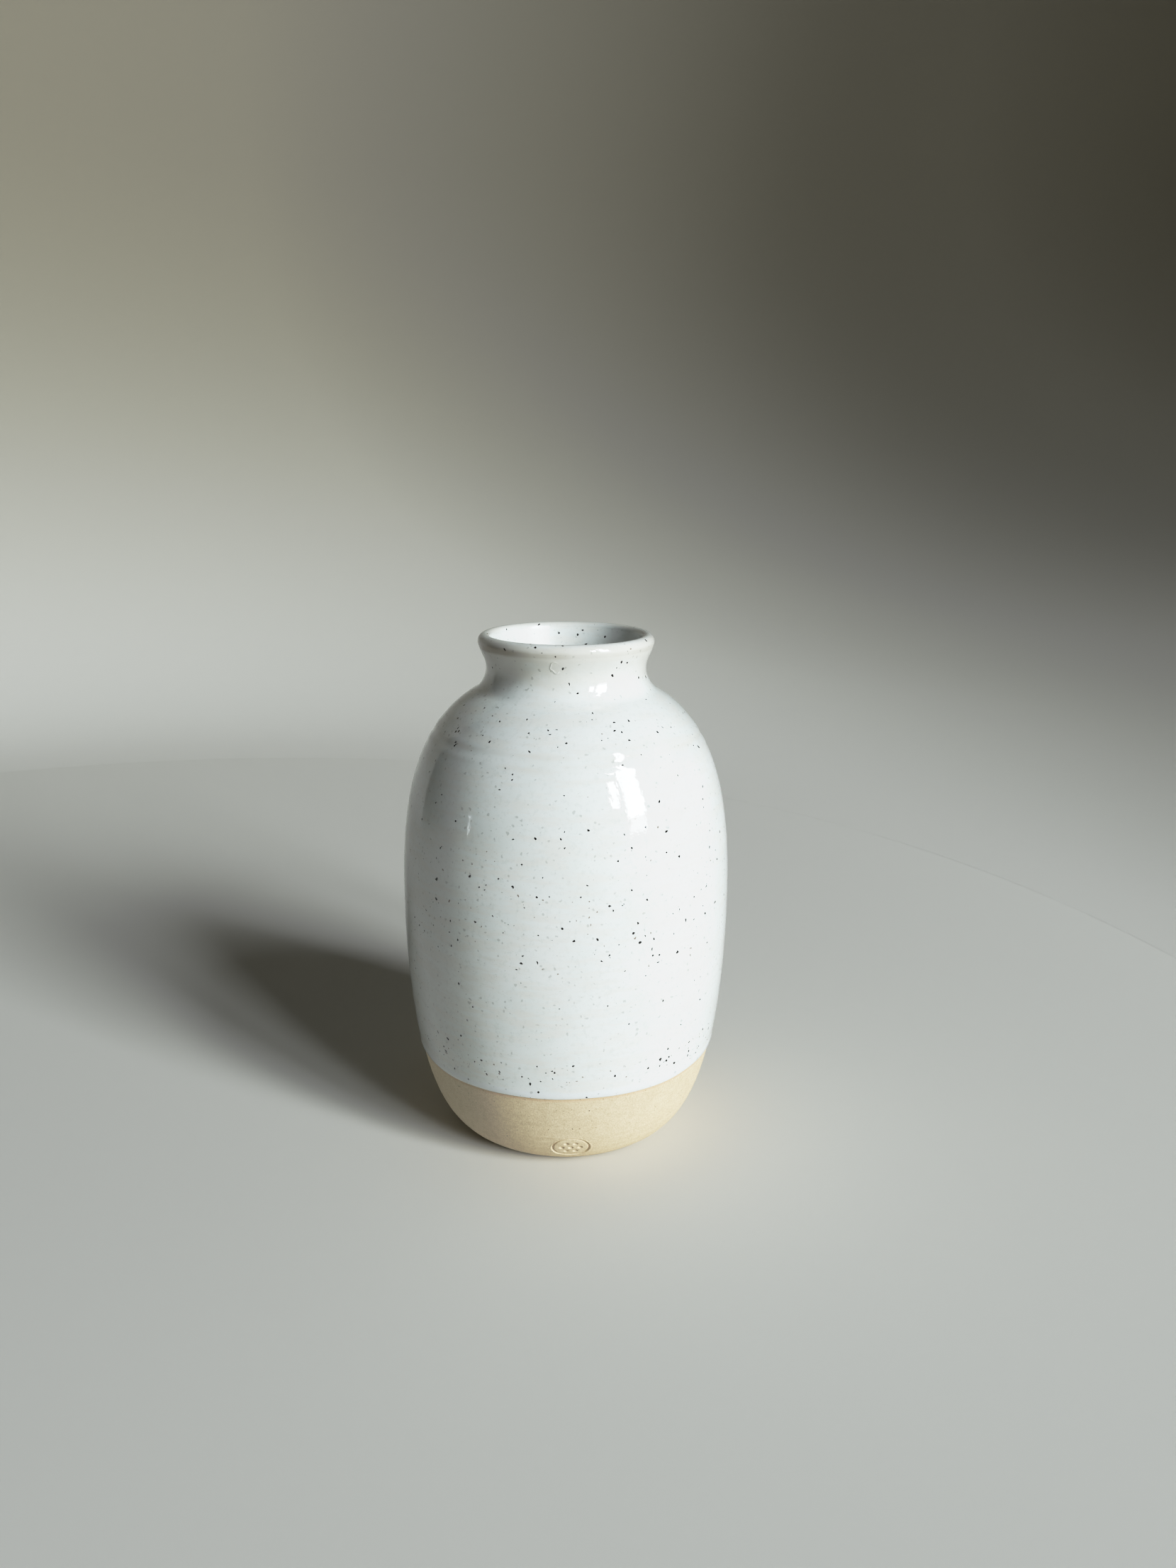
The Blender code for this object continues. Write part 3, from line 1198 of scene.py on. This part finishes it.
@dataclass(frozen=True)
class MattBoard:
    """Painted board for the floor and the backdrop: quite matt, so that it takes a soft shadow."""

    name: str = "matt_painted_board"
    near: str = "#dcdad3"
    # The far colour, reached away from a middle set left of the vase, is painted shade on the backdrop,
    # deepest at its right.
    far: str = "#8e8878"
    middle: tuple[float, float, float] = (-180.0, 0.0, 0.0)
    near_radius: float = 420.0
    far_radius: float = 860.0
    roughness: float = 0.9

    def material(self) -> bpy.types.Material:
        """Builds the material, which is pale round the vase and darker towards the backdrop, most of all to
        the right: painted shade for the backdrop's dim far side.

        Returns:
            The material.
        """
        made, tree, shader = new_material(self.name)
        away = add(
            tree,
            "ShaderNodeVectorMath",
            {0: place_in_mm(tree), 1: self.middle},
            "Value",
            operation="DISTANCE",
        )
        share = add(
            tree,
            RANGE,
            {"Value": away, "From Min": self.near_radius, "From Max": self.far_radius},
            interpolation_type="SMOOTHSTEP",
        )
        colour = add(
            tree,
            MIX,
            {0: share, MIX_A: linear(self.near), MIX_B: linear(self.far)},
            MIX_RESULT,
            data_type="RGBA",
        )
        tree.links.new(colour, shader.inputs["Base Color"])
        shader.inputs["Roughness"].default_value = self.roughness
        return made


@dataclass(frozen=True)
class Pane:
    """One pane of the window-shaped soft light, by the angles that it spans as the vase sees it."""

    name: str
    azimuths: tuple[float, float]
    elevations: tuple[float, float]
    share: float = 1.0

    def hang(self, distance: float, watts_per_square_metre: float) -> None:
        """Hangs the pane as a soft light that faces the vase.

        Args:
            distance: How far away it hangs, in metres.
            watts_per_square_metre: How strong it is.
        """
        azimuth, rise = (math.radians(sum(pair) / 2) for pair in (self.azimuths, self.elevations))
        wide, tall = (
            2 * distance * math.tan(math.radians(pair[1] - pair[0]) / 2)
            for pair in (self.azimuths, self.elevations)
        )
        level = math.cos(rise)
        out = Vector((math.sin(azimuth) * level, -math.cos(azimuth) * level, math.sin(rise)))
        data = bpy.data.lights.new(self.name, "AREA")
        data.shape = "RECTANGLE"
        data.size, data.size_y = wide * level, tall
        data.energy = self.share * watts_per_square_metre * data.size * data.size_y
        data.color = linear(Studio.daylight)[:3]
        pane = bpy.data.objects.new(self.name, data)
        pane.location = out * distance + Vector((0, 0, Studio.eye_height * MM))
        pane.rotation_mode = "QUATERNION"
        pane.rotation_quaternion = out.to_track_quat("Z", "Y")
        pane.visible_camera = False
        bpy.context.scene.collection.objects.link(pane)


@dataclass
class Studio:
    """A pale floor that sweeps up into a backdrop, a soft window-shaped light, a weak fill and the camera."""

    board: MattBoard = MattBoard()
    backdrop_radius: float = 750.0
    backdrop_aside: float = -150.0
    backdrop_height: float = 900.0
    cove: float = 380.0
    backdrop_from: float = -50.0
    backdrop_to: float = 85.0
    eye_height: float = 70.0
    key_distance: float = 4.0
    key_strength: float = 83.0
    daylight: str = "#f3faff"
    panes: tuple[Pane, ...] = (
        Pane("narrow_pane", (31.5, 38.0), (16.5, 33.0)),
        Pane("broad_pane", (41.5, 57.0), (11.0, 35.0)),
        Pane("low_pane", (42.5, 56.0), (4.0, 11.0), share=0.5),
        Pane("top_pane", (45.5, 53.0), (35.0, 46.5)),
        Pane("door_slit", (-73.5, -72.2), (-1.0, 6.0), share=0.2),
    )
    room: str = "#8f8c84"
    room_strength: float = 0.052
    dark_room_strength: float = 0.01
    dark_side: tuple[float, float] = (-0.92, -0.45)
    # How bright a light is shown, from the darkest to the brightest.
    tones: tuple[tuple[float, float], ...] = (
        (0.15, 0.148),
        (0.22, 0.208),
        (0.30, 0.299),
        (0.40, 0.424),
        (0.55, 0.590),
        (0.75, 0.750),
        (1.00, 0.875),
        (1.60, 1.000),
    )
    camera_distance: float = 276.7
    camera_height: float = 164.0
    camera_azimuth: float = -2.0
    pitch: float = 15.6
    lens: float = 27.03
    aside: float = 0.01854

    def build(self) -> None:
        """Builds the whole studio."""
        self.lay_floor()
        self.stand_backdrop()
        self.light_room()
        for pane in self.panes:
            pane.hang(self.key_distance, self.key_strength)
        self.stand_camera()
        self.develop()

    def set_down(self, name: str, points: list, faces: list) -> None:
        """Makes one piece of the stage.

        Args:
            name: Its name.
            points: Its corners, in metres.
            faces: Its faces.
        """
        mesh = bpy.data.meshes.new(name)
        mesh.from_pydata(points, [], faces)
        mesh.materials.append(self.board.material())
        mesh.shade_smooth()
        made = bpy.data.objects.new(name, mesh)
        bpy.context.scene.collection.objects.link(made)

    def lay_floor(self, half: float = 8.0) -> None:
        """Lays the floor."""
        corners = [(-half, -half, 0), (half, -half, 0), (half, half, 0), (-half, half, 0)]
        self.set_down("floor", corners, [(0, 1, 2, 3)])

    def stand_backdrop(self, columns: int = 60) -> None:
        """Stands the backdrop, which curves up from the floor and round behind the vase.

        Args:
            columns: How many flat pieces it has across.
        """
        outline = arc((self.backdrop_radius - self.cove, self.cove), self.cove, 270, 360, 24)
        outline.append(Vector((self.backdrop_radius, self.backdrop_height)))
        turns = np.radians(np.linspace(self.backdrop_from, self.backdrop_to, columns + 1))
        points = [
            (
                (radius * math.sin(turn) + self.backdrop_aside) * MM,
                radius * MM * math.cos(turn),
                (height + 0.02) * MM,
            )
            for radius, height in outline
            for turn in turns
        ]
        across = columns + 1
        faces = [
            (row * across + i, row * across + i + 1, (row + 1) * across + i + 1, (row + 1) * across + i)
            for row in range(len(outline) - 1)
            for i in range(columns)
        ]
        self.set_down("backdrop", points, faces)

    def light_room(self) -> None:
        """Fills the room with weak light from all round, least from the far left, where it is dark."""
        world = bpy.data.worlds.new("room")
        bpy.context.scene.world = world
        world.use_nodes = True
        tree = world.node_tree
        background = tree.nodes["Background"]
        background.inputs["Color"].default_value = linear(self.room)
        direction = add(tree, "ShaderNodeTexCoord", {}, "Generated")
        sideways = add(tree, "ShaderNodeSeparateXYZ", {"Vector": direction}, "X")
        strength = add(
            tree,
            RANGE,
            {
                "Value": sideways,
                "From Min": self.dark_side[0],
                "From Max": self.dark_side[1],
                "To Min": self.dark_room_strength,
                "To Max": self.room_strength,
            },
            interpolation_type="SMOOTHSTEP",
        )
        tree.links.new(strength, background.inputs["Strength"])

    def develop(self) -> None:
        """Holds back the brightest tones, as film does, so that the lit glaze keeps its shading."""
        view = bpy.context.scene.view_settings
        view.view_transform = "Standard"
        view.use_curve_mapping = True
        view.curve_mapping.use_clip = False
        tones = view.curve_mapping.curves[ALL_COLOURS]
        first, *others = self.tones
        tones.points[0].location = (0, 0)
        tones.points[1].location = first
        for light, shown in others:
            tones.points.new(light, shown)
        view.curve_mapping.update()

    def stand_camera(self) -> None:
        """Stands the camera in front of the vase and above it, with the vase a little left of the middle."""
        pitch = math.radians(self.pitch)
        forward = Vector((self.aside, math.cos(pitch), -math.sin(pitch))).normalized()
        right = (Vector((1, 0, 0)) - forward * forward.x).normalized()
        up = right.cross(forward)
        turn = Matrix((right, up, -forward)).transposed().to_4x4()
        place = Matrix.Translation((0, -self.camera_distance * MM, self.camera_height * MM))
        data = bpy.data.cameras.new("camera")
        data.sensor_width = 36
        data.lens = self.lens
        data.clip_start = 0.01
        camera = bpy.data.objects.new("camera", data)
        camera.matrix_world = Matrix.Rotation(math.radians(self.camera_azimuth), 4, "Z") @ place @ turn
        bpy.context.scene.collection.objects.link(camera)
        bpy.context.scene.camera = camera


def stand_for(piece: bpy.types.Object, node: str) -> None:
    """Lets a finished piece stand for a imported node.

    Args:
        piece: The piece.
        node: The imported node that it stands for.
    """
    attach(piece, BODY)
    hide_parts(node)
    log.info("%s stands for %s with %d faces", piece.name, node, len(piece.data.polygons))


def main() -> None:
    """Builds the vase and its studio."""
    logging.basicConfig(level=logging.INFO, format="%(name)s: %(message)s")
    form = Form.of_the_packed_model()
    edge = GlazeEdge(form)
    glaze = WhiteStonewareGlaze().material()
    stand_for(ClayBody(form, edge, Seal()).build(BareStoneware()), "stoneware_body")
    stand_for(GlazeCoat(form, edge, Coat.DIPPED).build(glaze), "outside_glaze")
    stand_for(GlazeCoat(form, edge, Coat.POURED).build(glaze), "liner_glaze")
    Studio().build()


if __name__ == "__main__":
    main()
